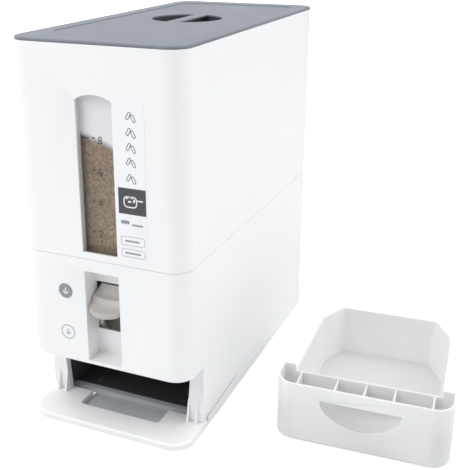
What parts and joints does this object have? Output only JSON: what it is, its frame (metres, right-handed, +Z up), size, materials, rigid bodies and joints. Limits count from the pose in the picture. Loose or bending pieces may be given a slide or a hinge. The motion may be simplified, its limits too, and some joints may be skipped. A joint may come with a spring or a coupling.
{
  "type": "rice dispenser with drawer",
  "caption": "Upright rice bin with a lift-off tank and lid, level window, push lever over a measuring rotor, and a drawer shown taken out.",
  "frame": {"origin": "middle of the dispenser's own footprint, on the plane it stands on; the drawer beside it isn't counted", "axes": "+Z up, -Y out of the lever and window side, +X to the right seen from the front"},
  "size_m": [0.4437, 0.4097, 0.418],
  "materials": {
    "white_casing": "moulded, satin gloss",
    "grey_lid": "moulded, fine matt",
    "dark_grey": "moulded, matt",
    "pan_grey": "moulded, matt",
    "lever_taupe": "moulded, satin",
    "mechanism_white": "moulded acetal",
    "drawer_white": "moulded, satin gloss",
    "clear_window": "clear moulded",
    "window_light": "moulded, light",
    "seal_rubber": "soft silicone",
    "spring_steel": "drawn wire",
    "rice_grain": "loose grain",
    "print_grey": "printed ink",
    "label_film": "printed film"
  },
  "bodies": {
    "stand": {"base_frame": "white_casing", "stand_shell": "white_casing", "bottom_pan": "pan_grey", "drawer_rails": "dark_grey", "bay_liner": "dark_grey", "meter_housing": "mechanism_white", "housing_cap": "mechanism_white", "cap_screws": "spring_steel", "shaft_bushes": "mechanism_white", "inlet_gasket": "seal_rubber", "return_spring": "spring_steel", "measure_badge": "print_grey", "release_badge": "print_grey"},
    "rotor": {"metering_rotor": "mechanism_white", "rotor_shaft": "spring_steel", "push_lever": "lever_taupe", "lever_screws": "spring_steel"},
    "tank": {"tank_shell": "white_casing", "hopper": "window_light", "window_frame": "window_light", "window_pane": "clear_window", "scale_dots": "print_grey", "front_label": "label_film", "rice_fill": "rice_grain"},
    "lid": {"lid_cover": "grey_lid", "grip_cup": "dark_grey", "lid_seal": "seal_rubber"},
    "drawer": {"drawer": "drawer_white"}
  },
  "joints": [
    {"name": "lever_push", "type": "hinge", "parent": "stand", "child": "rotor", "pos_m": [0, -0.134, 0.122], "axis": [1, 0, 0], "range_deg": [0, 26], "stiffness_Nm_per_rad": 0.4, "springref_deg": -20.05, "deforming": ["return_spring"]},
    {"name": "tank_lift", "type": "slide", "parent": "stand", "child": "tank", "axis": [0, 0, 1], "range_m": [0, 0.12]},
    {"name": "lid_lift", "type": "slide", "parent": "tank", "child": "lid", "axis": [0, 0, 1], "range_m": [0, 0.08]},
    {"name": "drawer_slide", "type": "slide", "parent": "stand", "child": "drawer", "axis": [-0.061, 0.9981, 0], "range_m": [0, 0.2]}
  ]
}
